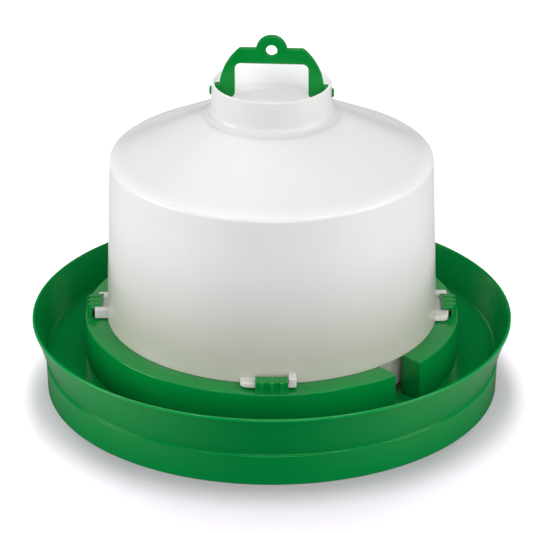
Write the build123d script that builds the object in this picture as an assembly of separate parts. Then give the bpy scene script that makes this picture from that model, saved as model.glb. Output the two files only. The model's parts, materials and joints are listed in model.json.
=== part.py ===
from build123d import *

import os
from math import atan2, cos, sqrt

# Poultry waterer fount: a round drinking tray, a ten-litre bell that twists into it
# under four hooks, and a bail handle that pivots in the bell's neck.
# Millimetres, +Z up. The origin is the centre of the tray's base, on the ground.
# +X and +Y run through two of the hooks. The front hook is towards -Y.

# Tray
TRAY_HEIGHT = 61.7
RIM_RADIUS = 195.0
RIM_BEAD_HEIGHT = 2.6
RIM_BEAD_OVERHANG = 1.0
WALL = 2.0
LEDGE_HEIGHT = 25.6
LEDGE_RISE = 0.7
SKIRT_FOOT_RADIUS = 184.1
SKIRT_TOP_RADIUS = 184.8
FLARE_FOOT_RADIUS = 183.3
FLOOR_TOP = 28.1
FLOOR_THICKNESS = 2.0
TROUGH_FILLET = 8.0
RIM_EDGE_ROUND = 0.9

# Seat ring, a hollow upstand that carries the bell
RING_INNER_RADIUS = 132.5
RING_OUTER_RADIUS = 151.8
RING_SEAT_TOP = 61.8
RING_SEAT_EDGE_RADIUS = 141.0
RING_EDGE_TOP = 61.0
RING_EDGE_ROUND = 0.8
OUTLET_WIDTH = 27.5
OUTLET_AZIMUTH = -45.0
LEAD_IN_HALF_WIDTH = 27.0

# Bayonet hooks on the ring and the lugs of the bell that turn in under them
AZIMUTHS = {"front": -90.0, "right": 0.0, "rear": 90.0, "left": 180.0}
HOOK_HALF_WIDTH = 12.85
HOOK_INNER_RADIUS = 138.0
HOOK_WALL_RADIUS = 146.5
HOOK_BACK_RADIUS = 149.4
HOOK_UNDERSIDE = 67.9
HOOK_TOP = 70.4
HOOK_ROUND = 1.2
RIB_COUNT = 3
RIB_PITCH = 7.8
RIB_WIDTH = 3.3
RIB_PROUD = 1.0
RIB_TOP_PROUD = 0.5
RIB_INNER_RADIUS = 142.5
LUG_RADIUS = 144.2
LUG_BOTTOM = 62.9
LUG_TOP = 67.0
LUG_LEAD = -24.7
LUG_END_ROUND = 5.0
LUG_RAMP_ROUND = 2.5
STOP_GAP = 0.3
STOP_LENGTH = 6.0
STOP_TOP = 70.7

# Bell
BELL_WALL = 2.2
BELL_SKIRT_RADIUS = 128.0
BELL_SKIRT_BOTTOM = 34.3
FLANGE_RADIUS = 135.8
FLANGE_THICKNESS = 2.5
FLANGE_ROUND = 0.8
BELL_FOOT_RADIUS = 133.9
BELL_SHOULDER_RADIUS = 129.4
BELL_SHOULDER_HEIGHT = 198.0
BELL_SHOULDER_ROUND = 4.0

# Neck cup, where the dome ends in a collar with a floor
NECK_SPLIT_RADIUS = 54.0
NECK_FOOT_RADIUS = 48.5
NECK_FOOT_HEIGHT = 237.2
NECK_RIM_RADIUS = 47.4
NECK_RIM_HEIGHT = 261.1
NECK_WALL = 2.0
NECK_ROUND = 5.0
CUP_ROUND = 3.0
RIM_ROUND = 0.7

# Bail handle, a flat plate that stands in a plane through the pivot axis
HANDLE_YAW = -3.6
PIVOT_HEIGHT = 252.7
PIN_RADIUS = 3.70
PIN_CLEARANCE = 0.05
PIN_TIP = 49.5
PIN_DOME = 1.3
HANDLE_THICKNESS = 4.6
HANDLE_EDGE_ROUND = 0.9
EYE_HEIGHT = 287.4
EYE_RADIUS = 4.75
EYE_LOBE_RADIUS = 12.5
BAR_TOP = 289.1
BAR_BOTTOM = 276.4
BAR_HALF_LENGTH = 25.2
BAR_CORNER = 2.5
SHOULDER_MIDDLE = (35.7, 276.6)
LEG_OUTER = 41.2
LEG_INNER = 29.1
LEG_ARC_FOOT = 259.2
GRIP_CORNER = 4.9
FOOT_HEIGHT = 246.8
FOOT_ROUND = 5.3
BOSS_RADIUS = 6.5
BOSS_FACE = 44.9


def lathe(points, rounds=()):
    """Turn a closed outline of (radius, height) points about Z, with some corners rounded."""
    face = make_face(Plane.XZ * Polyline(*points, close=True))
    for corner, radius in rounds:
        where = Plane.XZ.from_local_coords((corner[0], corner[1], 0))
        vertex = face.vertices().sort_by_distance(where)[0]
        face = fillet(vertex, radius)
    return revolve(face, Axis.Z, 360).solid()


def sector(points, low, high, rounds=()):
    """Keep the stretch of a lathed outline at +X between two tangential offsets."""
    reach = RIM_RADIUS
    slab = Pos(reach / 2, (low + high) / 2, TRAY_HEIGHT) * Box(reach, high - low, 2 * reach)
    return lathe(points, rounds) & slab


def at_azimuth(shape, azimuth):
    """Turn a shape made at +X to its own place about Z."""
    return Rot(0, 0, azimuth) * shape


def outlet_block(width, inner, outer, bottom, top):
    """A block across the seat ring in the direction of the water outlet."""
    block = Pos((inner + outer) / 2, 0, (bottom + top) / 2) * Box(outer - inner, width, top - bottom)
    return at_azimuth(block, OUTLET_AZIMUTH)


def ring_hollow(bottom, top):
    """The space inside the hollow ring, which stops short of the outlet's end walls."""
    inner = RING_INNER_RADIUS + WALL
    outer = RING_OUTER_RADIUS - WALL
    space = lathe([(inner, bottom), (outer, bottom), (outer, top), (inner, top)])
    return space - outlet_block(OUTLET_WIDTH + 2 * WALL, inner - WALL, outer + WALL, bottom, top)


def tray_dish():
    """Skirt, ledge, flared wall, rim bead and floor, with the floor open under the hollow ring."""
    flare_top = RIM_RADIUS - RIM_BEAD_OVERHANG
    bead_bottom = TRAY_HEIGHT - RIM_BEAD_HEIGHT
    flare = (flare_top - FLARE_FOOT_RADIUS) / (bead_bottom - LEDGE_HEIGHT)
    inner_top = flare_top + flare * RIM_BEAD_HEIGHT - WALL
    inner_foot = FLARE_FOOT_RADIUS + flare * (FLOOR_TOP - LEDGE_HEIGHT) - WALL
    floor_bottom = FLOOR_TOP - FLOOR_THICKNESS
    rim_outer = (RIM_RADIUS, TRAY_HEIGHT)
    rim_inner = (inner_top, TRAY_HEIGHT)
    trough_corner = (inner_foot, FLOOR_TOP)
    outline = [
        (SKIRT_FOOT_RADIUS - WALL, 0),
        (SKIRT_FOOT_RADIUS, 0),
        (SKIRT_TOP_RADIUS, LEDGE_HEIGHT - LEDGE_RISE),
        (FLARE_FOOT_RADIUS, LEDGE_HEIGHT),
        (flare_top, bead_bottom),
        (RIM_RADIUS, bead_bottom),
        rim_outer,
        rim_inner,
        trough_corner,
        (0, FLOOR_TOP),
        (0, floor_bottom),
        (SKIRT_TOP_RADIUS - WALL - LEDGE_RISE, floor_bottom),
    ]
    rounds = [(rim_outer, RIM_EDGE_ROUND), (rim_inner, RIM_EDGE_ROUND), (trough_corner, TROUGH_FILLET)]
    return lathe(outline, rounds) - ring_hollow(floor_bottom, FLOOR_TOP)


def seat_ring():
    """Hollow upstand with a sloping top, a parallel-sided outlet and a flat lead-in at each hook."""
    outer_edge = (RING_OUTER_RADIUS, RING_EDGE_TOP)
    outline = [
        (RING_INNER_RADIUS, FLOOR_TOP),
        (RING_OUTER_RADIUS, FLOOR_TOP),
        outer_edge,
        (RING_SEAT_EDGE_RADIUS, RING_SEAT_TOP),
        (RING_INNER_RADIUS, RING_SEAT_TOP),
    ]
    ring = lathe(outline, [(outer_edge, RING_EDGE_ROUND)])
    ring -= ring_hollow(FLOOR_TOP, RING_EDGE_TOP - WALL)
    ring -= outlet_block(OUTLET_WIDTH, RING_INNER_RADIUS - WALL, RIM_RADIUS, FLOOR_TOP, TRAY_HEIGHT + WALL)
    lead_in_section = [
        (RING_SEAT_EDGE_RADIUS, RING_EDGE_TOP),
        (RING_OUTER_RADIUS + WALL, RING_EDGE_TOP),
        (RING_OUTER_RADIUS + WALL, RING_SEAT_TOP + WALL),
        (RING_SEAT_EDGE_RADIUS, RING_SEAT_TOP + WALL),
    ]
    lead_in = sector(lead_in_section, -LEAD_IN_HALF_WIDTH, LEAD_IN_HALF_WIDTH)
    for azimuth in AZIMUTHS.values():
        ring -= at_azimuth(lead_in, azimuth)
    return ring.solid()


def bayonet_hook():
    """An angle of wall and top plate with ribs down its back, made at +X."""
    back_top = (HOOK_BACK_RADIUS, HOOK_TOP)
    angle = [
        (HOOK_WALL_RADIUS, RING_EDGE_TOP),
        (HOOK_BACK_RADIUS, RING_EDGE_TOP),
        back_top,
        (HOOK_INNER_RADIUS, HOOK_TOP),
        (HOOK_INNER_RADIUS, HOOK_UNDERSIDE),
        (HOOK_WALL_RADIUS, HOOK_UNDERSIDE),
    ]
    hook = sector(angle, -HOOK_HALF_WIDTH, HOOK_HALF_WIDTH, [(back_top, HOOK_ROUND)])
    rib_front = HOOK_BACK_RADIUS - RIB_PROUD
    rib_back = HOOK_BACK_RADIUS + RIB_PROUD
    rib_top = HOOK_TOP + RIB_TOP_PROUD
    rib_section = [
        (rib_front, RING_EDGE_TOP),
        (rib_back, RING_EDGE_TOP),
        (rib_back, rib_top),
        (RIB_INNER_RADIUS, rib_top),
        (RIB_INNER_RADIUS, HOOK_UNDERSIDE + RIB_PROUD),
        (rib_front, HOOK_UNDERSIDE + RIB_PROUD),
    ]
    for index in range(RIB_COUNT):
        middle = (index - (RIB_COUNT - 1) / 2) * RIB_PITCH
        low = middle - RIB_WIDTH / 2
        hook += sector(rib_section, low, low + RIB_WIDTH, [((rib_back, rib_top), HOOK_ROUND)])
    return hook.solid()


def dome_height(radius):
    """Height of the straight conical dome's outer face at a radius."""
    along = (BELL_SHOULDER_RADIUS - radius) / (BELL_SHOULDER_RADIUS - NECK_FOOT_RADIUS)
    return BELL_SHOULDER_HEIGHT + along * (NECK_FOOT_HEIGHT - BELL_SHOULDER_HEIGHT)


DOME_SLOPE = atan2(NECK_FOOT_HEIGHT - BELL_SHOULDER_HEIGHT, BELL_SHOULDER_RADIUS - NECK_FOOT_RADIUS)
DOME_DROP = BELL_WALL / cos(DOME_SLOPE)


def bell_shell():
    """Skirt inside the ring, seating flange, tapered wall and conical dome, open at both ends."""
    flange_top = RING_SEAT_TOP + FLANGE_THICKNESS
    shoulder = (BELL_SHOULDER_RADIUS, BELL_SHOULDER_HEIGHT)
    inner_shoulder_radius = BELL_SHOULDER_RADIUS - BELL_WALL
    inner_shoulder = (inner_shoulder_radius, dome_height(inner_shoulder_radius) - DOME_DROP)
    flange_edge = (FLANGE_RADIUS, flange_top)
    split_top = dome_height(NECK_SPLIT_RADIUS)
    outline = [
        (BELL_SKIRT_RADIUS - BELL_WALL, BELL_SKIRT_BOTTOM),
        (BELL_SKIRT_RADIUS, BELL_SKIRT_BOTTOM),
        (BELL_SKIRT_RADIUS, RING_SEAT_TOP),
        (FLANGE_RADIUS, RING_SEAT_TOP),
        flange_edge,
        (BELL_FOOT_RADIUS, flange_top),
        shoulder,
        (NECK_SPLIT_RADIUS, split_top),
        (NECK_SPLIT_RADIUS, split_top - DOME_DROP),
        inner_shoulder,
        (BELL_FOOT_RADIUS - BELL_WALL, flange_top),
        (BELL_SKIRT_RADIUS - BELL_WALL, RING_SEAT_TOP - BELL_WALL),
    ]
    inner_round = BELL_SHOULDER_ROUND - BELL_WALL
    rounds = [(shoulder, BELL_SHOULDER_ROUND), (inner_shoulder, inner_round), (flange_edge, FLANGE_ROUND)]
    return lathe(outline, rounds)


def pivot_cylinder(radius, start, end):
    """A cylinder on the handle's pivot axis between two distances from the bell's axis."""
    middle = Pos((start + end) / 2, 0, PIVOT_HEIGHT)
    return middle * Rot(0, 90, 0) * Cylinder(radius, end - start)


def neck_cup():
    """Top of the dome, collar, cup floor and the two holes for the handle's pivots."""
    split_top = dome_height(NECK_SPLIT_RADIUS)
    neck_foot = (NECK_FOOT_RADIUS, NECK_FOOT_HEIGHT)
    rim_outer = (NECK_RIM_RADIUS, NECK_RIM_HEIGHT)
    rim_inner = (NECK_RIM_RADIUS - NECK_WALL, NECK_RIM_HEIGHT)
    cup_corner = (NECK_FOOT_RADIUS - NECK_WALL, NECK_FOOT_HEIGHT)
    floor_bottom = NECK_FOOT_HEIGHT - BELL_WALL
    outline = [
        (NECK_SPLIT_RADIUS, split_top - DOME_DROP),
        (NECK_SPLIT_RADIUS, split_top),
        neck_foot,
        rim_outer,
        rim_inner,
        cup_corner,
        (0, NECK_FOOT_HEIGHT),
        (0, floor_bottom),
        (NECK_FOOT_RADIUS, floor_bottom),
    ]
    rim_rounds = [(rim_outer, RIM_ROUND), (rim_inner, RIM_ROUND)]
    rounds = [(neck_foot, NECK_ROUND), (cup_corner, CUP_ROUND), *rim_rounds]
    holes = pivot_cylinder(PIN_RADIUS + PIN_CLEARANCE, -RIM_RADIUS, RIM_RADIUS)
    return (lathe(outline, rounds) - Rot(0, 0, HANDLE_YAW) * holes).solid()


def bayonet_lug(shell):
    """A curved bar with a rounded lead-in and a taller stop block, made at +X on the bell's wall."""
    root = BELL_FOOT_RADIUS - BELL_WALL / 2
    stop_start = HOOK_HALF_WIDTH + STOP_GAP
    bar_section = [(root, LUG_BOTTOM), (LUG_RADIUS, LUG_BOTTOM), (LUG_RADIUS, LUG_TOP), (root, LUG_TOP)]
    bar = sector(bar_section, LUG_LEAD, stop_start)
    lead_corner = (LUG_RADIUS, LUG_LEAD, LUG_TOP)
    bar = fillet(bar.edges().filter_by(Axis.Z).sort_by_distance(lead_corner)[0], LUG_END_ROUND)
    lead_face = bar.faces().sort_by(Axis.Y)[0]
    bar = fillet(lead_face.edges().sort_by(Axis.Z)[-1], LUG_RAMP_ROUND)
    stop_section = [(root, LUG_BOTTOM), (LUG_RADIUS, LUG_BOTTOM), (LUG_RADIUS, STOP_TOP), (root, STOP_TOP)]
    stop = sector(stop_section, stop_start, stop_start + STOP_LENGTH)
    return ((bar + stop) - shell).solid()


def handle_outline():
    """Half outline of the bail at +X, from the middle of the bar round to the inside of the grip."""
    lobe_foot = sqrt(EYE_LOBE_RADIUS**2 - (BAR_TOP - EYE_HEIGHT) ** 2)
    top = Line((0, EYE_HEIGHT), (0, EYE_HEIGHT + EYE_LOBE_RADIUS))
    lobe = RadiusArc((0, EYE_HEIGHT + EYE_LOBE_RADIUS), (lobe_foot, BAR_TOP), EYE_LOBE_RADIUS)
    bar = Line((lobe_foot, BAR_TOP), (BAR_HALF_LENGTH, BAR_TOP))
    shoulder = ThreePointArc((BAR_HALF_LENGTH, BAR_TOP), SHOULDER_MIDDLE, (LEG_OUTER, LEG_ARC_FOOT))
    leg = Polyline(
        (LEG_OUTER, LEG_ARC_FOOT),
        (LEG_OUTER, FOOT_HEIGHT),
        (LEG_INNER, FOOT_HEIGHT),
        (LEG_INNER, BAR_BOTTOM),
        (0, BAR_BOTTOM),
        (0, EYE_HEIGHT),
    )
    return make_face([top, lobe, bar, shoulder, leg])


def handle_bail():
    """Flat bail with a hanging eye, a grip opening and two round bosses that face the neck."""
    half = handle_outline()
    for corner, radius in (
        ((BAR_HALF_LENGTH, BAR_TOP), BAR_CORNER),
        ((LEG_INNER, FOOT_HEIGHT), FOOT_ROUND),
        ((LEG_INNER, BAR_BOTTOM), GRIP_CORNER),
    ):
        half = fillet(half.vertices().sort_by_distance((corner[0], corner[1], 0))[0], radius)
    face = half + mirror(half, Plane.YZ)
    plate = Rot(90, 0, 0) * extrude(face, HANDLE_THICKNESS / 2, both=True)
    plate = fillet(plate.edges().filter_by(Axis.Y, reverse=True), HANDLE_EDGE_ROUND)
    plate -= Pos(0, 0, EYE_HEIGHT) * Rot(90, 0, 0) * Cylinder(EYE_RADIUS, 2 * HANDLE_THICKNESS)
    for side in (-1, 1):
        start, end = sorted((side * (LEG_OUTER - BOSS_RADIUS), side * BOSS_FACE))
        plate += pivot_cylinder(BOSS_RADIUS, start, end)
    return (Rot(0, 0, HANDLE_YAW) * plate).solid()


def pivot_pin():
    """Round pin with a domed end, from a boss out through the neck, made towards +X."""
    pin = pivot_cylinder(PIN_RADIUS, BOSS_FACE, PIN_TIP)
    tip_edge = pin.edges().sort_by(Axis.X)[-1]
    return Rot(0, 0, HANDLE_YAW) * fillet(tip_edge, PIN_DOME)


def build():
    """Every node by name, in its place."""
    shell = bell_shell()
    nodes = {
        "tray_dish": tray_dish(),
        "seat_ring": seat_ring(),
        "bell_shell": shell,
        "neck_cup": neck_cup(),
        "handle_bail": handle_bail(),
        "pivot_pin_right": pivot_pin(),
        "pivot_pin_left": at_azimuth(pivot_pin(), 180),
    }
    hook = bayonet_hook()
    lug = bayonet_lug(shell)
    for place, azimuth in AZIMUTHS.items():
        nodes[f"hook_{place}"] = at_azimuth(hook, azimuth)
        nodes[f"lug_{place}"] = at_azimuth(lug, azimuth)
    return nodes


os.makedirs("parts", exist_ok=True)
for name, shape in build().items():
    export_step(shape, f"parts/{name}.step")
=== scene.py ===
import json
import math

import bmesh
import bpy
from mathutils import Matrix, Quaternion, Vector


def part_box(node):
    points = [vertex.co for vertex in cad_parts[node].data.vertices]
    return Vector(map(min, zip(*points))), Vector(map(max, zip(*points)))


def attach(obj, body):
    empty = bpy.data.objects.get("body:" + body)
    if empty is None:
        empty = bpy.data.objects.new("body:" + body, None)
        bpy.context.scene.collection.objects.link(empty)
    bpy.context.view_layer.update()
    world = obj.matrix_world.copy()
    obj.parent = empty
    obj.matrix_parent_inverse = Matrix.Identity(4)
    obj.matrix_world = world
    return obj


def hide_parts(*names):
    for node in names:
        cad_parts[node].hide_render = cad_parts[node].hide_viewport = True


# Looks of the poultry waterer: a glossy green tray, a translucent white bell and a green handle.
# Metres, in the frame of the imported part. Each piece stands for the CAD node of the same name.

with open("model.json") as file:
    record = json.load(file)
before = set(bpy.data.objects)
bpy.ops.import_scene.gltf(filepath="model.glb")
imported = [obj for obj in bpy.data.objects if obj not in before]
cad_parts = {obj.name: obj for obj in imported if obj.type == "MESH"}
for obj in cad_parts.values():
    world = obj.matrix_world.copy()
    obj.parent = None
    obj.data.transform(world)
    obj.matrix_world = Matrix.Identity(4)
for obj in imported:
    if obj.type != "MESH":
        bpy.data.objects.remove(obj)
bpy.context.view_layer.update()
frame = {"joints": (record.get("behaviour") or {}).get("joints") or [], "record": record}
MM = 0.001

# ---------------------------------------------------------------- sizes, read from the frame

AZIMUTHS = {"front": -90, "right": 0, "rear": 90, "left": 180}
WALL = 2.0 * MM
BELL_WALL = 2.2 * MM

rim_radius = min(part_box("tray_dish")[1].x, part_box("tray_dish")[1].y)
tray_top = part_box("tray_dish")[1].z
floor_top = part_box("seat_ring")[0].z
floor_bottom = floor_top - WALL
ring_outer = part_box("seat_ring")[1].x
ring_inner = ring_outer - 19.3 * MM
seat_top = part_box("seat_ring")[1].z
ring_edge_top = seat_top - 0.8 * MM
hook_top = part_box("hook_right")[1].z
hook_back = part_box("hook_right")[1].x
hook_half_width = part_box("hook_right")[1].y
lug_lead, lug_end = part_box("lug_right")[0].y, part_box("lug_right")[1].y
lug_bottom, stop_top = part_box("lug_right")[0].z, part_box("lug_right")[1].z
skirt_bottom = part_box("bell_shell")[0].z
split_radius = min(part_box("neck_cup")[1].x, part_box("neck_cup")[1].y)
neck_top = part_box("neck_cup")[1].z
handle_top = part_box("handle_bail")[1].z

joints = {joint["name"]: joint for joint in frame["joints"]}
mounts = {mount["name"]: mount for mount in frame["record"]["mounts"]}
pivot = Vector(joints["handle_swing"]["pos_m"])
pivot_axis = Vector(joints["handle_swing"]["axis"]).normalized()
handle_yaw = math.atan2(pivot_axis.y, pivot_axis.x)
eye_height = mounts["hanging_eye"]["pos_m"][2]
eye_radius = mounts["hanging_eye"]["dims"]["r_mm"] * MM
handle_thickness = mounts["hanging_eye"]["dims"]["length_mm"] * MM

ARC_STEP = math.radians(11)
LATHE_SEGMENTS = 288
SHARP_ANGLE = math.radians(38)
JOIN_DISTANCE = 0.001 * MM
RING_STEPS = 720
OUTLET_AZIMUTH = math.radians(-45)
OUTLET_HALF_WIDTH = 13.75 * MM
SEAT_EDGE = 141.0 * MM
PIVOT_HOLE_RADIUS = 3.75 * MM
PIN_RADIUS = 3.7 * MM
BOSS_FACE = 44.9 * MM


# ---------------------------------------------------------------- outlines

def round_corner(before, corner, after, radius):
    """Points of the arc that rounds one corner of an outline."""
    corner = Vector(corner)
    to_before = (Vector(before) - corner).normalized()
    to_after = (Vector(after) - corner).normalized()
    half = to_before.angle(to_after) / 2
    reach = radius / math.tan(half)
    centre = corner + (to_before + to_after).normalized() * (radius / math.sin(half))
    start = corner + to_before * reach - centre
    turn = start.angle_signed(corner + to_after * reach - centre)
    steps = max(2, math.ceil(abs(turn) / ARC_STEP))
    points = []
    for step in range(steps + 1):
        angle = -turn * step / steps
        cosine, sine = math.cos(angle), math.sin(angle)
        points.append((
            centre.x + start.x * cosine - start.y * sine,
            centre.y + start.x * sine + start.y * cosine,
        ))
    return points


def outline(corners):
    """A closed outline from (x, y) or (x, y, radius) corners, with each radius as an arc."""
    points = []
    for index, corner in enumerate(corners):
        if len(corner) == 2:
            points.append(tuple(corner))
        else:
            before = corners[index - 1][:2]
            after = corners[(index + 1) % len(corners)][:2]
            points += round_corner(before, corner[:2], after, corner[2])
    return points


def inset(points, depth):
    """The outline, moved inwards by a small depth. The outline runs anticlockwise."""
    moved = []
    for index, point in enumerate(points):
        here = Vector(point)
        to_here = (here - Vector(points[index - 1])).normalized()
        onwards = (Vector(points[(index + 1) % len(points)]) - here).normalized()
        normal = (Vector((-to_here.y, to_here.x)) + Vector((-onwards.y, onwards.x))).normalized()
        cosine = max(0.5, normal.dot(Vector((-onwards.y, onwards.x))))
        moved.append(tuple(here + normal * (depth / cosine)))
    return moved


def anticlockwise(points):
    """The outline, turned round where it runs clockwise."""
    area = sum(a[0] * b[1] - b[0] * a[1] for a, b in zip(points, points[1:] + points[:1]))
    return points if area > 0 else points[::-1]


# ---------------------------------------------------------------- meshes

def finished_mesh(name, builder):
    """An object from a bmesh, with doubled points joined and faces turned outwards."""
    bmesh.ops.remove_doubles(builder, verts=builder.verts, dist=JOIN_DISTANCE)
    bmesh.ops.recalc_face_normals(builder, faces=builder.faces)
    mesh = bpy.data.meshes.new(name)
    builder.to_mesh(mesh)
    builder.free()
    made = bpy.data.objects.new(name, mesh)
    bpy.context.scene.collection.objects.link(made)
    return made


def combine(target, tool, operation):
    """Apply a boolean of one object on another and drop the tool."""
    modifier = target.modifiers.new("combine", "BOOLEAN")
    modifier.operation = operation
    modifier.solver = "EXACT"
    modifier.object = tool
    graph = bpy.context.evaluated_depsgraph_get()
    mesh = bpy.data.meshes.new_from_object(target.evaluated_get(graph))
    target.modifiers.clear()
    target.data = mesh
    bpy.data.objects.remove(tool)
    return target


def show(piece, node, body, material):
    """Shade a finished piece, let it ride on its body and stand for its CAD node."""
    piece.name = f"{node}_visual"
    piece.data.name = piece.name
    piece.data.materials.clear()
    piece.data.materials.append(material)
    piece.data.shade_smooth()
    piece.data.set_sharp_from_angle(angle=SHARP_ANGLE)
    weighting = piece.modifiers.new("even shading", "WEIGHTED_NORMAL")
    weighting.keep_sharp = True
    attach(piece, body)
    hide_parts(node)
    return piece


def stitch(builder, loop, following, skip=()):
    """Faces between two closed loops with the same number of points, apart from some of their edges."""
    for index in range(len(loop)):
        after = (index + 1) % len(loop)
        if index not in skip:
            builder.faces.new((loop[index], loop[after], following[after], following[index]))


def round_about_z(radius, angle, height):
    """A point at a radius, an angle and a height."""
    return (radius * math.cos(angle), radius * math.sin(angle), height)


def lathe(name, corners, place=round_about_z, segments=LATHE_SEGMENTS):
    """Turn a closed outline of (radius, height) corners all the way round."""
    builder = bmesh.new()
    section = outline(corners)
    loops = []
    for step in range(segments):
        angle = 2 * math.pi * step / segments
        loops.append([builder.verts.new(place(radius, angle, height)) for radius, height in section])
    for step in range(segments):
        stitch(builder, loops[step], loops[(step + 1) % segments])
    return finished_mesh(name, builder)


def end_steps(edge_round):
    """(distance from the end, inset) pairs that round an end of a prism, from the end inwards."""
    turns = [math.radians(degrees) for degrees in (0, 30, 60, 90)]
    return [(edge_round * (1 - math.cos(turn)), edge_round * (1 - math.sin(turn))) for turn in turns]


def prism(name, stations, section_at, place, edge_round, hole_at=None):
    """Carry a closed outline from the first station to the last, rounding both ends.

    section_at(station) gives the outline there, and hole_at the outline of a hole through it.
    place(x, y, station) gives the position of a point.
    """
    builder = bmesh.new()
    steps = end_steps(edge_round)
    low, high = stations[0], stations[-1]
    plan = [(low + along, inwards) for along, inwards in steps]
    plan += [(s, 0.0) for s in stations if low + edge_round < s < high - edge_round]
    plan += [(high - along, inwards) for along, inwards in steps[::-1]]
    ends = []
    for outline_at, sense in ((section_at, 1), (hole_at, -1)):
        if outline_at is None:
            continue
        loops = []
        for station, inwards in plan:
            points = inset(anticlockwise(outline_at(station)), sense * inwards)
            loops.append([builder.verts.new(place(x, y, station)) for x, y in points])
        for loop, following in zip(loops, loops[1:]):
            stitch(builder, loop, following)
        ends.append((loops[0], loops[-1]))
    for side in (0, 1):
        if len(ends) == 1:
            builder.faces.new(ends[0][side])
        else:
            rims = [pair[side] for pair in ends]
            edges = [builder.edges.get((rim[i - 1], rim[i])) for rim in rims for i in range(len(rim))]
            bmesh.ops.triangle_fill(builder, edges=edges, use_beauty=True)
    return finished_mesh(name, builder)


def smooth_step(value, low, high):
    """0 below low, 1 above high, and a smooth rise between them."""
    share = min(1.0, max(0.0, (value - low) / (high - low)))
    return share * share * (3 - 2 * share)


def spread(low, high, count):
    """Evenly spaced values from low to high, count steps apart."""
    return [low + (high - low) * step / count for step in range(count + 1)]


# ---------------------------------------------------------------- tray

slot_inner = ring_inner + WALL
slot_outer = ring_outer - WALL
SLOT_HALF_WIDTH = OUTLET_HALF_WIDTH + WALL
SLOT_STEPS = 8


def gap_angle(radius, half_width, low, high):
    """Half the angle that a parallel-sided gap spans at a radius, which is held between two limits."""
    return math.asin(half_width / min(high, max(low, radius)))


def tray_corners():
    """Section outside the ring as (radius, height, rounding), from below the floor round to its top."""
    recess = 182.1 * MM
    foot_outer = 184.1 * MM
    ledge_outer = 184.8 * MM
    ledge = 25.6 * MM
    bead = 2.6 * MM
    flare_foot = 183.3 * MM
    flare_top = rim_radius - 1.0 * MM
    flare = (flare_top - flare_foot) / (tray_top - bead - ledge)
    return [
        (slot_outer, floor_bottom),
        (recess - 0.1 * MM, floor_bottom, 1.0 * MM),
        (recess, 0, 0.6 * MM),
        (foot_outer, 0, 0.6 * MM),
        (ledge_outer, ledge - 0.7 * MM, 0.5 * MM),
        (flare_foot, ledge, 0.4 * MM),
        (flare_top, tray_top - bead, 0.5 * MM),
        (rim_radius, tray_top - bead, 0.4 * MM),
        (rim_radius, tray_top, 0.9 * MM),
        (flare_top + flare * bead - WALL, tray_top, 0.9 * MM),
        (flare_foot + flare * (floor_top - ledge) - WALL, floor_top, 8.0 * MM),
        (slot_outer, floor_top),
    ]


def tray_dish():
    """Skirt, ledge, flared wall, rim bead and floor, with a slot in the floor under the hollow ring."""
    builder = bmesh.new()
    segments = LATHE_SEGMENTS + SLOT_STEPS
    section = outline(tray_corners())

    def point(radius, height, step):
        half = gap_angle(radius, SLOT_HALF_WIDTH, slot_inner, slot_outer)
        angle = OUTLET_AZIMUTH - half + 2 * half * step / SLOT_STEPS
        if step > SLOT_STEPS:
            share = (step - SLOT_STEPS) / LATHE_SEGMENTS
            angle = OUTLET_AZIMUTH + half + share * (2 * math.pi - 2 * half)
        return builder.verts.new(round_about_z(radius, angle, height))

    top_middle = builder.verts.new((0, 0, floor_top))
    bottom_middle = builder.verts.new((0, 0, floor_bottom))
    top = [point(slot_inner, floor_top, step) for step in range(segments)]
    bottom = [point(slot_inner, floor_bottom, step) for step in range(segments)]
    outer = [[point(radius, height, step) for radius, height in section] for step in range(segments)]
    last_edge = len(section) - 1
    for step in range(segments):
        after = (step + 1) % segments
        here, there = outer[step], outer[after]
        stitch(builder, here, there, skip=[last_edge])
        builder.faces.new((top_middle, top[step], top[after]))
        builder.faces.new((bottom_middle, bottom[after], bottom[step]))
        if step < SLOT_STEPS:
            builder.faces.new((top[step], here[-1], there[-1], top[after]))
            builder.faces.new((bottom[step], here[0], there[0], bottom[after]))
        else:
            builder.faces.new((top[step], bottom[step], bottom[after], top[after]))
            builder.faces.new((here[-1], here[0], there[0], there[-1]))
    for step in (0, SLOT_STEPS):
        builder.faces.new((top[step], bottom[step], outer[step][0], outer[step][-1]))
    return finished_mesh("tray_dish", builder)


def lead_in_height(x, y, height):
    """Height of the ring's top, where a flat lead-in takes its slope away beside each hook."""
    flat_end, slope_start = 26 * MM, 28 * MM
    blend = 0.4 * MM
    share = 0.0
    for azimuth in AZIMUTHS.values():
        facing = math.radians(azimuth)
        outwards = x * math.cos(facing) + y * math.sin(facing)
        sideways = abs(y * math.cos(facing) - x * math.sin(facing))
        if outwards > 0:
            share = max(share, 1 - smooth_step(sideways, flat_end, slope_start))
    share *= smooth_step(math.hypot(x, y), SEAT_EDGE - blend, SEAT_EDGE + blend)
    return height - share * max(0.0, height - ring_edge_top)


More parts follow.
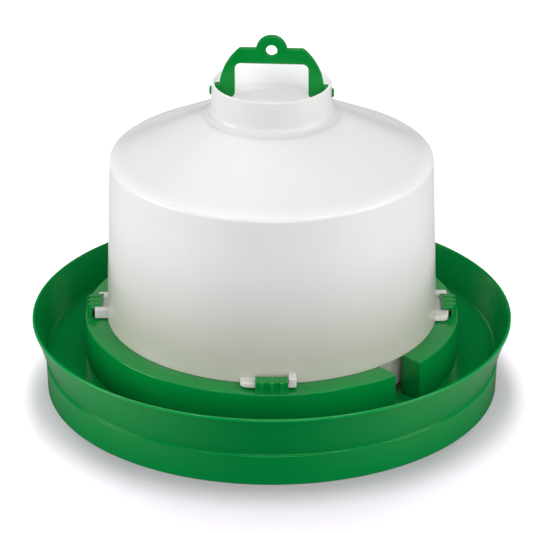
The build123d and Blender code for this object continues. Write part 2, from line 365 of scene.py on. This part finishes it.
def seat_ring():
    """Hollow upstand with a parallel-sided water outlet and a top that slopes outwards."""
    builder = bmesh.new()
    slope = (seat_top - ring_edge_top) / (ring_outer - SEAT_EDGE)
    slope_radii = spread(ring_outer - 2 * MM, SEAT_EDGE, 7)
    slope_points = [(radius, seat_top - slope * (radius - SEAT_EDGE)) for radius in slope_radii]
    skin = outline([
        (ring_inner, floor_top),
        (ring_outer, floor_top),
        (ring_outer, ring_edge_top, 0.8 * MM),
        *slope_points,
        (SEAT_EDGE - 0.8 * MM, seat_top),
        (ring_inner, seat_top, 0.8 * MM),
    ])
    cavity_top = ring_edge_top - WALL
    cavity = [
        (slot_inner, floor_top),
        (slot_outer, floor_top),
        (slot_outer, cavity_top),
        (slot_inner, cavity_top),
    ]

    def section(points, share, half_width):
        """The section at a share of the way round, from one side of the outlet to the other."""
        loop = []
        for radius, height in points:
            half = gap_angle(radius, half_width, ring_inner, ring_outer)
            angle = OUTLET_AZIMUTH + half + share * (2 * math.pi - 2 * half)
            x, y, z = round_about_z(radius, angle, height)
            loop.append(builder.verts.new((x, y, lead_in_height(x, y, z))))
        return loop

    steps = end_steps(0.5 * MM)
    start = [section(inset(skin, inwards), 0.0, OUTLET_HALF_WIDTH + along) for along, inwards in steps]
    end = [section(inset(skin, inwards), 1.0, OUTLET_HALF_WIDTH + along) for along, inwards in steps[::-1]]
    shares = spread(0.0, 1.0, RING_STEPS)
    between = [section(skin, share, OUTLET_HALF_WIDTH) for share in shares[1:-1]]
    middle = [start[-1], *between, end[0]]
    inside = [section(cavity, share, SLOT_HALF_WIDTH) for share in shares]
    foot_edge = 0
    for loops in (start, end):
        for loop, following in zip(loops, loops[1:]):
            stitch(builder, loop, following)
    for step in range(len(shares) - 1):
        here, there = middle[step], middle[step + 1]
        inner_here, inner_there = inside[step], inside[step + 1]
        stitch(builder, here, there, skip=[foot_edge])
        stitch(builder, inner_here, inner_there, skip=[foot_edge])
        for corner in (0, 1):
            builder.faces.new((here[corner], there[corner], inner_there[corner], inner_here[corner]))
    for loop, inner in ((middle[0], inside[0]), (middle[-1], inside[-1])):
        builder.faces.new((loop[0], loop[1], inner[1], inner[0]))
        builder.faces.new(inner)
    builder.faces.new(start[0])
    builder.faces.new(end[-1])
    return finished_mesh("seat_ring", builder)


def radial_place(azimuth):
    """Positions for a part of the ring at an azimuth: (radius, height, tangential offset)."""
    facing = math.radians(azimuth)

    def place(radius, height, sideways):
        outwards = math.sqrt(radius**2 - sideways**2)
        return (
            outwards * math.cos(facing) - sideways * math.sin(facing),
            outwards * math.sin(facing) + sideways * math.cos(facing),
            height,
        )

    return place


def bayonet_hook(azimuth):
    """Angle of wall and top plate with three rounded ribs over its back."""
    place = radial_place(azimuth)
    plate_top = hook_top - 0.7 * MM
    underside = plate_top - 2.3 * MM
    hook_inner, hook_wall = 138.0 * MM, 146.2 * MM
    back = hook_back - 1.9 * MM
    rib_root, rib_front = back - 1.2 * MM, 140.0 * MM
    rib_bottom = underside + 1.0 * MM
    rib_half_width, rib_pitch = 1.65 * MM, 7.8 * MM
    angle = outline([
        (hook_wall, ring_edge_top),
        (back, ring_edge_top),
        (back, plate_top, 0.6 * MM),
        (hook_inner, plate_top, 0.5 * MM),
        (hook_inner, underside, 0.5 * MM),
        (hook_wall, underside, 0.4 * MM),
    ])
    stations = spread(-hook_half_width, hook_half_width, 14)
    hook = prism("hook", stations, lambda _: angle, place, 0.45 * MM)
    rib = outline([
        (rib_root, ring_edge_top),
        (hook_back, ring_edge_top),
        (hook_back, hook_top, 1.4 * MM),
        (rib_front, hook_top, 0.6 * MM),
        (rib_front, rib_bottom),
        (rib_root, rib_bottom),
    ])
    for middle in (-rib_pitch, 0, rib_pitch):
        stations = spread(middle - rib_half_width, middle + rib_half_width, 2)
        combine(hook, prism("rib", stations, lambda _: rib, place, 0.35 * MM), "UNION")
    return hook


# ---------------------------------------------------------------- bell

neck_foot = 48.5 * MM
neck_foot_height = neck_top - 23.9 * MM
shoulder_radius = 129.4 * MM
shoulder_height = 198.0 * MM
dome_slope = math.atan2(neck_foot_height - shoulder_height, shoulder_radius - neck_foot)
dome_drop = BELL_WALL / math.cos(dome_slope)


def dome_height(radius):
    """Height of the dome's outer face."""
    return shoulder_height + (shoulder_radius - radius) * math.tan(dome_slope)


def bell_shell():
    """Skirt inside the ring, a foot that rests on the ring, tapered wall and conical dome."""
    foot_top = seat_top + 2.5 * MM
    foot_outer = 134.3 * MM
    wall_start = (133.6 * MM, seat_top + 11.5 * MM)
    wall_inner = 133.9 * MM - BELL_WALL
    skirt = 128.0 * MM
    inner_shoulder = shoulder_radius - BELL_WALL
    return lathe("bell_shell", [
        (skirt - BELL_WALL, skirt_bottom, 0.5 * MM),
        (skirt, skirt_bottom, 0.5 * MM),
        (skirt, seat_top, 0.5 * MM),
        (foot_outer, seat_top, 0.6 * MM),
        wall_start,
        (shoulder_radius, shoulder_height, 4.0 * MM),
        (split_radius, dome_height(split_radius)),
        (split_radius, dome_height(split_radius) - dome_drop),
        (inner_shoulder, dome_height(inner_shoulder) - dome_drop, 1.8 * MM),
        (wall_inner, foot_top),
        (skirt - BELL_WALL, seat_top - BELL_WALL),
    ])


def neck_cup():
    """Top of the dome, collar and cup floor, with a hole on each side for the handle's pivots."""
    rim = 47.4 * MM
    cup = lathe("neck_cup", [
        (split_radius, dome_height(split_radius) - dome_drop),
        (split_radius, dome_height(split_radius)),
        (neck_foot, neck_foot_height, 5.0 * MM),
        (rim, neck_top, 0.7 * MM),
        (rim - WALL, neck_top, 0.7 * MM),
        (neck_foot - WALL, neck_foot_height, 3.0 * MM),
        (0, neck_foot_height),
        (0, neck_foot_height - BELL_WALL),
        (neck_foot, neck_foot_height - BELL_WALL),
    ])
    reach = 60 * MM
    hole = pivot_round("hole", [
        (0, -reach), (PIVOT_HOLE_RADIUS, -reach), (PIVOT_HOLE_RADIUS, reach), (0, reach),
    ])
    return combine(cup, hole, "DIFFERENCE")


def pivot_round(name, corners):
    """A lathed shape about the handle's pivot axis, from (radius, distance along the axis) corners."""
    side = Vector((-pivot_axis.y, pivot_axis.x, 0))

    def place(radius, angle, along):
        up = Vector((0, 0, math.sin(angle)))
        return pivot + pivot_axis * along + (side * math.cos(angle) + up) * radius

    return lathe(name, corners, place, 64)


def bayonet_lug(azimuth):
    """Curved bar with a lead-in rounded in plan, and the taller stop block beside it."""
    place = radial_place(azimuth)
    root = 132.8 * MM
    reach = 144.2 * MM
    bar_top = 67.0 * MM
    lead_round = 5.0 * MM
    ramp_round = 2.5 * MM
    stop_start = lug_end - 6.0 * MM

    def short_of(radius, past):
        """How far a rounded end falls short of its full size, at a distance past its tip."""
        return radius - math.sqrt(radius**2 - (radius - min(radius, past)) ** 2)

    def bar_section(station):
        tip = reach - short_of(lead_round, station - lug_lead)
        top = bar_top - short_of(ramp_round, station - lug_lead)
        return outline([
            (root, lug_bottom), (tip, lug_bottom, 0.6 * MM), (tip, top, 0.9 * MM), (root, top),
        ])

    stop = outline([
        (root, lug_bottom), (reach, lug_bottom, 0.7 * MM), (reach, stop_top, 0.9 * MM), (root, stop_top),
    ])
    lead = [lug_lead + lead_round * (1 - math.cos(math.radians(turn))) for turn in range(0, 90, 9)]
    stations = lead + spread(lug_lead + lead_round, stop_start + 1 * MM, 12)
    lug = prism("lug", stations, bar_section, place, 0.5 * MM)
    block = prism("stop", spread(stop_start, lug_end, 3), lambda _: stop, place, 0.6 * MM)
    return combine(lug, block, "UNION")


# ---------------------------------------------------------------- handle

def handle_place(along, height, sideways):
    """A point of the handle's plate: along the pivot axis, up, and out of its plane."""
    return (
        along * math.cos(handle_yaw) - sideways * math.sin(handle_yaw),
        along * math.sin(handle_yaw) + sideways * math.cos(handle_yaw),
        height,
    )


def arc(centre, radius, start, end, count):
    """Points of an arc about a centre, between two angles in degrees."""
    turns = [math.radians(angle) for angle in spread(start, end, count)]
    return [(centre[0] + radius * math.cos(turn), centre[1] + radius * math.sin(turn)) for turn in turns]


def handle_outline():
    """Whole outline of the bail, the right half mirrored to the left."""
    lobe_radius = handle_top - eye_height
    bar_top = 289.1 * MM
    bar_bottom = 276.4 * MM
    leg_outer, leg_inner = 41.2 * MM, 29.1 * MM
    foot = 246.8 * MM
    shoulder_start, shoulder_middle = (25.2 * MM, bar_top), (35.7 * MM, 276.6 * MM)
    shoulder_end = (leg_outer, 259.2 * MM)
    lobe_end = math.degrees(math.asin((bar_top - eye_height) / lobe_radius))
    lobe = arc((0, eye_height), lobe_radius, 90, lobe_end, 12)
    centre, radius, angles = arc_through(shoulder_start, shoulder_middle, shoulder_end)
    shoulder_points = arc(centre, radius, *angles, 14)
    bar_corner = round_corner(lobe[-1], shoulder_points[0], shoulder_points[1], 2.5 * MM)
    rest = outline([
        shoulder_points[-1],
        (leg_outer, foot, 1.0 * MM),
        (leg_inner, foot, 5.3 * MM),
        (leg_inner, bar_bottom, 4.9 * MM),
        (0, bar_bottom),
    ])
    right = lobe + bar_corner + shoulder_points[1:] + rest[1:-1]
    left = [(-x, y) for x, y in right[::-1] if x > 0]
    return right + left


def arc_through(first, middle, last):
    """Centre, radius and end angles, in degrees, of the arc through three points."""
    (ax, ay), (bx, by), (cx, cy) = first, middle, last
    twice = 2 * (ax * (by - cy) + bx * (cy - ay) + cx * (ay - by))
    a, b, c = ax**2 + ay**2, bx**2 + by**2, cx**2 + cy**2
    x = (a * (by - cy) + b * (cy - ay) + c * (ay - by)) / twice
    y = (a * (cx - bx) + b * (ax - cx) + c * (bx - ax)) / twice
    angles = [math.degrees(math.atan2(p[1] - y, p[0] - x)) for p in (first, last)]
    return (x, y), math.hypot(ax - x, ay - y), angles


def handle_bail():
    """Flat bail with rounded edges, a hanging eye and a round boss at each foot."""
    half = handle_thickness / 2
    eye_edge = 0.3 * MM
    boss_radius, boss_root = 6.5 * MM, 40.2 * MM
    plate = handle_outline()
    eye = arc((0, eye_height), eye_radius - eye_edge, 0, 360, 48)[:-1]
    bail = prism("bail", [-half, half], lambda _: plate, handle_place, 0.9 * MM, hole_at=lambda _: eye)
    for side in (-1, 1):
        root, face = side * boss_root, side * BOSS_FACE
        boss = pivot_round("boss", [
            (0, root), (boss_radius, root), (boss_radius, face, 0.5 * MM), (0, face),
        ])
        combine(bail, boss, "UNION")
    return bail


def pivot_pin(side):
    """Round pin with a domed end, from a boss out through the neck."""
    start, end = side * BOSS_FACE, side * 49.5 * MM
    return pivot_round("pin", [(0, start), (PIN_RADIUS, start), (PIN_RADIUS, end, 1.4 * MM), (0, end)])


# ---------------------------------------------------------------- materials

def add_node(tree, kind, inputs=None, **settings):
    """A node with its settings, and a value or a link for each named input."""
    made = tree.nodes.new(kind)
    for name, value in settings.items():
        setattr(made, name, value)
    for name, value in (inputs or {}).items():
        if isinstance(value, bpy.types.NodeSocket):
            tree.links.new(value, made.inputs[name])
        else:
            made.inputs[name].default_value = value
    return made


def noise(tree, place, scale, detail=2.0):
    """Smooth noise, mostly between 0.3 and 0.7."""
    made = add_node(tree, "ShaderNodeTexNoise", {"Vector": place, "Scale": scale, "Detail": detail})
    return made.outputs["Fac"]


def scaled(tree, value, low, high, start=0.3, end=0.7):
    """A value that runs from low to high while the given one runs from start to end."""
    made = add_node(tree, "ShaderNodeMapRange", {
        "Value": value, "From Min": start, "From Max": end, "To Min": low, "To Max": high,
    })
    return made.outputs["Result"]


def arithmetic(tree, operation, *values):
    """One step of arithmetic on one or two values."""
    return add_node(tree, "ShaderNodeMath", dict(enumerate(values)), operation=operation).outputs["Value"]


def object_place(tree):
    """Where the shaded point lies on its piece."""
    return add_node(tree, "ShaderNodeTexCoord").outputs["Object"]


def axes_of(tree, place):
    """X, Y and Z of a place."""
    return add_node(tree, "ShaderNodeSeparateXYZ", {"Vector": place}).outputs


def dimmed(tree, colour, share):
    """A colour times a number."""
    made = add_node(tree, "ShaderNodeVectorMath", {0: colour, "Scale": share}, operation="SCALE")
    return made.outputs["Vector"]


def new_material(name):
    """A material, its node tree and its shader."""
    material = bpy.data.materials.new(name)
    material.use_nodes = True
    return material, material.node_tree, material.node_tree.nodes["Principled BSDF"]


def moulded_plastic(name, dark, light, gloss, waviness, grain):
    """Injection-moulded plastic: slow swirls of colour, an uneven gloss and a rippled, grained skin.

    gloss is the lowest and highest roughness; waviness and grain are heights in metres.
    """
    material, tree, shader = new_material(name)
    place = object_place(tree)
    swirl = noise(tree, place, scale=14.0, detail=4.0)
    colour = add_node(tree, "ShaderNodeMix", data_type="RGBA")
    tree.links.new(scaled(tree, swirl, 0.0, 1.0), colour.inputs["Factor"])
    colour.inputs["A"].default_value = (*dark, 1)
    colour.inputs["B"].default_value = (*light, 1)
    tree.links.new(colour.outputs["Result"], shader.inputs["Base Color"])
    smears = add_node(tree, "ShaderNodeMapping", {"Vector": place, "Scale": (1.0, 1.0, 2.0)})
    handling = noise(tree, smears.outputs["Vector"], scale=22.0, detail=5.0)
    tree.links.new(scaled(tree, handling, *gloss), shader.inputs["Roughness"])
    ripple = scaled(tree, noise(tree, place, scale=30.0, detail=1.0), -waviness, waviness, 0.0, 1.0)
    speckle = scaled(tree, noise(tree, place, scale=1300.0), -grain, grain, 0.0, 1.0)
    skin = arithmetic(tree, "ADD", ripple, speckle)
    bump = add_node(tree, "ShaderNodeBump", {"Height": skin, "Strength": 1.0, "Distance": 1.0})
    tree.links.new(bump.outputs["Normal"], shader.inputs["Normal"])
    return material, shader


def tray_plastic(name, dark, gloss, shine, shine_tint, painted_foot_shade):
    """Deep, saturated green with a soft gloss, and painted shade on the foot below the ledge."""
    light = [1.08 * part for part in dark]
    painted_shade_end, painted_shade_start = 24 * MM, 34 * MM
    material, shader = moulded_plastic(name, dark, light, gloss, waviness=0.03 * MM, grain=0.004 * MM)
    tree = material.node_tree
    # Painted shade: the foot below the ledge is darker than the wall above it.
    height = axes_of(tree, object_place(tree))["Z"]
    shade = scaled(tree, height, painted_foot_shade, 1.0, painted_shade_end, painted_shade_start)
    colour = shader.inputs["Base Color"].links[0].from_socket
    tree.links.new(dimmed(tree, colour, shade), shader.inputs["Base Color"])
    shader.inputs["Specular IOR Level"].default_value = shine
    shader.inputs["Specular Tint"].default_value = (*shine_tint, 1)
    return material


def bell_plastic(name, low_shade_and_reflection):
    """Milky white that lets some light through, with painted shade and a painted reflection of the green
    tray low down, darkest at the foot.

    Painted shade darkens the dome and the collar a little, and painted light brightens the inside of the
    cup.
    """
    # Painted shade and painted reflection of the tray: full at the foot and gone higher up the wall.
    low_shade_full, low_shade_gone = 62 * MM, 175 * MM
    # Painted shade on the dome and the collar, and painted light inside the cup.
    dome_painted_shade, collar_painted_shade, cup_painted_light = 0.85, 0.92, 1.14
    dome_start, dome_full = 195 * MM, 203 * MM
    collar_start, collar_full = 236 * MM, 243 * MM
    cup_edge, collar_edge = 46.2 * MM, 46.8 * MM
    material, shader = moulded_plastic(
        name,
        dark=(0.76, 0.763, 0.757), light=(0.775, 0.778, 0.772),
        gloss=(0.20, 0.22), waviness=0.03 * MM, grain=0.002 * MM,
    )
    tree = material.node_tree
    place = object_place(tree)
    height = axes_of(tree, place)["Z"]
    share = add_node(tree, "ShaderNodeMapRange", {
        "Value": height, "From Min": low_shade_full, "From Max": low_shade_gone,
    }, interpolation_type="SMOOTHSTEP").outputs["Result"]
    # Painted shade and painted reflection of the tray, from the foot colour low down to white higher up.
    low_shading = add_node(tree, "ShaderNodeMix", data_type="RGBA")
    low_shading.inputs["A"].default_value = (*low_shade_and_reflection, 1)
    low_shading.inputs["B"].default_value = (1, 1, 1, 1)
    tree.links.new(share, low_shading.inputs["Factor"])
    # Painted shade on the dome and on the collar.
    dome = scaled(tree, height, 1.0, dome_painted_shade, dome_start, dome_full)
    collar = scaled(tree, height, 1.0, collar_painted_shade, collar_start, collar_full)
    outside = arithmetic(tree, "MULTIPLY", dome, collar)
    across = add_node(tree, "ShaderNodeVectorMath", {0: place, 1: (1, 1, 0)}, operation="MULTIPLY")
    radius = add_node(tree, "ShaderNodeVectorMath", {0: across.outputs["Vector"]}, operation="LENGTH")
    # Painted light inside the cup, and the painted shade of the dome and the collar outside it.
    shade = scaled(tree, radius.outputs["Value"], cup_painted_light, outside, cup_edge, collar_edge)
    colour = shader.inputs["Base Color"].links[0].from_socket
    # The plastic's colour times the painted shade, reflection and light.
    colour_with_painted_light = add_node(tree, "ShaderNodeMix", data_type="RGBA", blend_type="MULTIPLY")
    colour_with_painted_light.inputs["Factor"].default_value = 1
    tree.links.new(colour, colour_with_painted_light.inputs["A"])
    tree.links.new(dimmed(tree, low_shading.outputs["Result"], shade), colour_with_painted_light.inputs["B"])
    tree.links.new(colour_with_painted_light.outputs["Result"], shader.inputs["Base Color"])
    shader.inputs["Specular IOR Level"].default_value = 0.3
    shader.inputs["Subsurface Weight"].default_value = 0.35
    shader.inputs["Subsurface Radius"].default_value = (0.012, 0.012, 0.010)
    shader.inputs["Subsurface Scale"].default_value = 1.0
    return material


def handle_plastic():
    """The handle's green, as yellow as it is in the photo."""
    material, shader = moulded_plastic(
        "handle plastic",
        dark=(0.0, 0.182, 0.024), light=(0.0, 0.200, 0.029),
        gloss=(0.16, 0.24), waviness=0.02 * MM, grain=0.004 * MM,
    )
    shader.inputs["Specular IOR Level"].default_value = 0.2
    return material


def matt(shader):
    """Take the shine off a shader."""
    shader.inputs["Roughness"].default_value = 1.0
    shader.inputs["Specular IOR Level"].default_value = 0.0


def floor_surface():
    """Plain paper, which its own lights bring to white."""
    material, tree, shader = new_material("studio paper")
    place = object_place(tree)
    swirl = noise(tree, place, scale=3.0)
    tones = {"Red": (0.545, 0.555), "Green": (0.522, 0.532), "Blue": (0.555, 0.565)}
    tones = {channel: scaled(tree, swirl, *limits) for channel, limits in tones.items()}
    colour = add_node(tree, "ShaderNodeCombineColor", tones)
    tree.links.new(colour.outputs["Color"], shader.inputs["Base Color"])
    matt(shader)
    return material


def table_surface():
    """What the object sees of the ground: dark in front with painted shade and close by with a painted
    shadow, and white beside and behind it.
    """
    front_painted_shade, palest = 0.08, 0.9
    front_edge, back_edge = -0.20, -0.05
    sideways_share = 0.8
    contact_painted_shadow, contact_edge, contact_end = 0.15, 0.18, 0.225
    material, tree, shader = new_material("table")
    place = object_place(tree)
    axes = axes_of(tree, place)
    aside = arithmetic(tree, "MULTIPLY", arithmetic(tree, "ABSOLUTE", axes["X"]), sideways_share)
    backwards = arithmetic(tree, "ADD", axes["Y"], aside)
    # Painted shade, darkest in front.
    away = scaled(tree, backwards, front_painted_shade, palest, front_edge, back_edge)
    radius = add_node(tree, "ShaderNodeVectorMath", {0: place}, operation="LENGTH").outputs["Value"]
    # Painted contact shadow close round the object.
    clear = scaled(tree, radius, contact_painted_shadow, 1.0, contact_edge, contact_end)
    tone = arithmetic(tree, "MULTIPLY", away, clear)
    colour = add_node(tree, "ShaderNodeCombineColor", {"Red": tone, "Green": tone, "Blue": tone})
    tree.links.new(colour.outputs["Color"], shader.inputs["Base Color"])
    matt(shader)
    return material


# ---------------------------------------------------------------- the object

green = tray_plastic(
    "tray plastic", dark=(0.0, 0.226, 0.045), gloss=(0.15, 0.21),
    shine=0.38, shine_tint=(1.0, 0.92, 0.7), painted_foot_shade=0.86,
)
# A darker copy of the tray's green for the seat ring and the hooks: painted shade.
shaded_ring_green = tray_plastic(
    "seat ring plastic", dark=(0.0, 0.188, 0.034), gloss=(0.14, 0.20),
    shine=0.38, shine_tint=(1.0, 1.0, 0.75), painted_foot_shade=1.0,
)
white = bell_plastic("bell plastic", low_shade_and_reflection=(0.575, 0.575, 0.49))
# The lugs: the bell's white with painted shade and reflection low down, lighter than at the bell's foot.
shaded_lug_white = bell_plastic("lug plastic", low_shade_and_reflection=(0.70, 0.69, 0.665))
handle_green = handle_plastic()

tray = show(tray_dish(), "tray_dish", "tray", green)
show(seat_ring(), "seat_ring", "tray", shaded_ring_green)
show(bell_shell(), "bell_shell", "bell", white)
show(neck_cup(), "neck_cup", "bell", white)
for side, azimuth in AZIMUTHS.items():
    show(bayonet_hook(azimuth), f"hook_{side}", "tray", shaded_ring_green)
    show(bayonet_lug(azimuth), f"lug_{side}", "bell", shaded_lug_white)
show(handle_bail(), "handle_bail", "handle", handle_green)
show(pivot_pin(1), "pivot_pin_right", "handle", handle_green)
show(pivot_pin(-1), "pivot_pin_left", "handle", handle_green)


# ---------------------------------------------------------------- floor, light and camera

GROUND_REACH = 8.0
SENSOR_WIDTH = 36
OBJECT_MIDDLE = (0, 0, 0.1)
FLOOR_MIDDLE = (0, 0, 0)


def flat_sheet(name, material):
    """A large square sheet on the ground that isn't part of the object."""
    builder = bmesh.new()
    for across, along in ((-1, -1), (1, -1), (1, 1), (-1, 1)):
        builder.verts.new((across * GROUND_REACH, along * GROUND_REACH, 0))
    builder.faces.new(list(builder.verts))
    sheet = finished_mesh(name, builder)
    sheet.data.materials.append(material)
    return sheet


def softbox(name, place, size, brightness, target=OBJECT_MIDDLE):
    """A rectangular softbox of (width, height). Its brightness is the radiance of its face."""
    width, height = size
    lamp = bpy.data.lights.new(name, "AREA")
    lamp.shape = "RECTANGLE"
    lamp.size = width
    lamp.size_y = height
    lamp.energy = brightness * math.pi * width * height
    box = bpy.data.objects.new(name, lamp)
    box.location = place
    box.rotation_euler = (Vector(target) - Vector(place)).to_track_quat("-Z", "Y").to_euler()
    bpy.context.scene.collection.objects.link(box)
    return box


def aim_at(pieces, boxes, state):
    """Make some softboxes light only these pieces (INCLUDE) or everything but them (EXCLUDE)."""
    receivers = bpy.data.collections.new(boxes[0].name + " receivers")
    for piece in pieces:
        receivers.objects.link(piece)
    for receiver in receivers.collection_objects:
        receiver.light_linking.link_state = state
    for box in boxes:
        box.light_linking.receiver_collection = receivers


def even_light(brightness):
    """The same soft light from all round, which glossy surfaces don't mirror."""
    world = bpy.data.worlds.new("studio")
    world.use_nodes = True
    background = world.node_tree.nodes["Background"]
    background.inputs["Color"].default_value = (1, 1, 1, 1)
    background.inputs["Strength"].default_value = brightness
    world.cycles_visibility.glossy = False
    bpy.context.scene.world = world


def stand_camera(place, pitch, yaw, roll, lens):
    """A camera that looks along +Y, tipped down by pitch and turned a little. Degrees."""
    camera = bpy.data.objects.new("camera", bpy.data.cameras.new("camera"))
    camera.data.lens = lens
    camera.data.sensor_width = SENSOR_WIDTH
    camera.location = place
    down, aside = math.radians(pitch), math.radians(yaw)
    ahead = Vector((math.sin(aside) * math.cos(down), math.cos(aside) * math.cos(down), -math.sin(down)))
    turn = ahead.to_track_quat("-Z", "Y") @ Quaternion((0, 0, 1), math.radians(roll))
    camera.rotation_euler = turn.to_euler()
    bpy.context.scene.collection.objects.link(camera)
    bpy.context.scene.camera = camera


# The camera sees the floor, and the object sees the table just below it. So the plastic mirrors a
# ground as dark as the photo's, while the floor round the object stays white.
floor = flat_sheet("studio floor", floor_surface())
floor.visible_diffuse = False
floor.visible_glossy = False
# A sheet hidden from the camera, with painted shade in front and a painted contact shadow, which the
# plastic mirrors and takes bounce light from.
table = flat_sheet("table", table_surface())
table.location.z = -0.5 * MM
table.visible_camera = False

even_light(0.6)
softbox("overhead", (-0.3, 0.9, 2.1), (1.2, 1.2), 1.8)
object_lights = [
    softbox("edge light left", (-0.9, -0.9, 1.9), (0.14, 0.14), 48.0),
    softbox("edge light right", (0.9, -1.0, 1.8), (0.25, 0.25), 40.0),
    softbox("front fill", (0.2, -2.5, 0.55), (1.5, 1.5), 4.0),
    softbox("left fill", (-2.3, -0.3, 0.8), (1.2, 1.2), 7.4),
    softbox("right fill", (2.15, -0.6, 1.15), (1.2, 1.2), 5.0),
]
backdrop = softbox("backdrop", (0, 3.2, 1.6), (4.0, 2.0), 0.45)
floor_lights = [
    softbox("floor sky", (0, 0, 2.2), (12.0, 12.0), 0.93, target=(0, 0.001, 0)),
    softbox("floor light", (-0.05, 0.95, 2.2), (0.6, 2.6), 11.8, target=(0, 0.05, 0)),
    softbox("floor side left", (-1.2, 2.0, 1.0), (0.8, 0.8), 14.0, target=FLOOR_MIDDLE),
    softbox("floor side right", (1.2, 2.0, 1.0), (0.8, 0.8), 9.5, target=FLOOR_MIDDLE),
]
aim_at([floor], object_lights, "EXCLUDE")
aim_at([floor, tray], [backdrop], "EXCLUDE")
aim_at([floor], floor_lights, "INCLUDE")
stand_camera((0, -2.2038, 1.1131), pitch=24.68, yaw=-0.110, roll=-0.061, lens=201.95)
bpy.context.scene.view_settings.view_transform = "Standard"
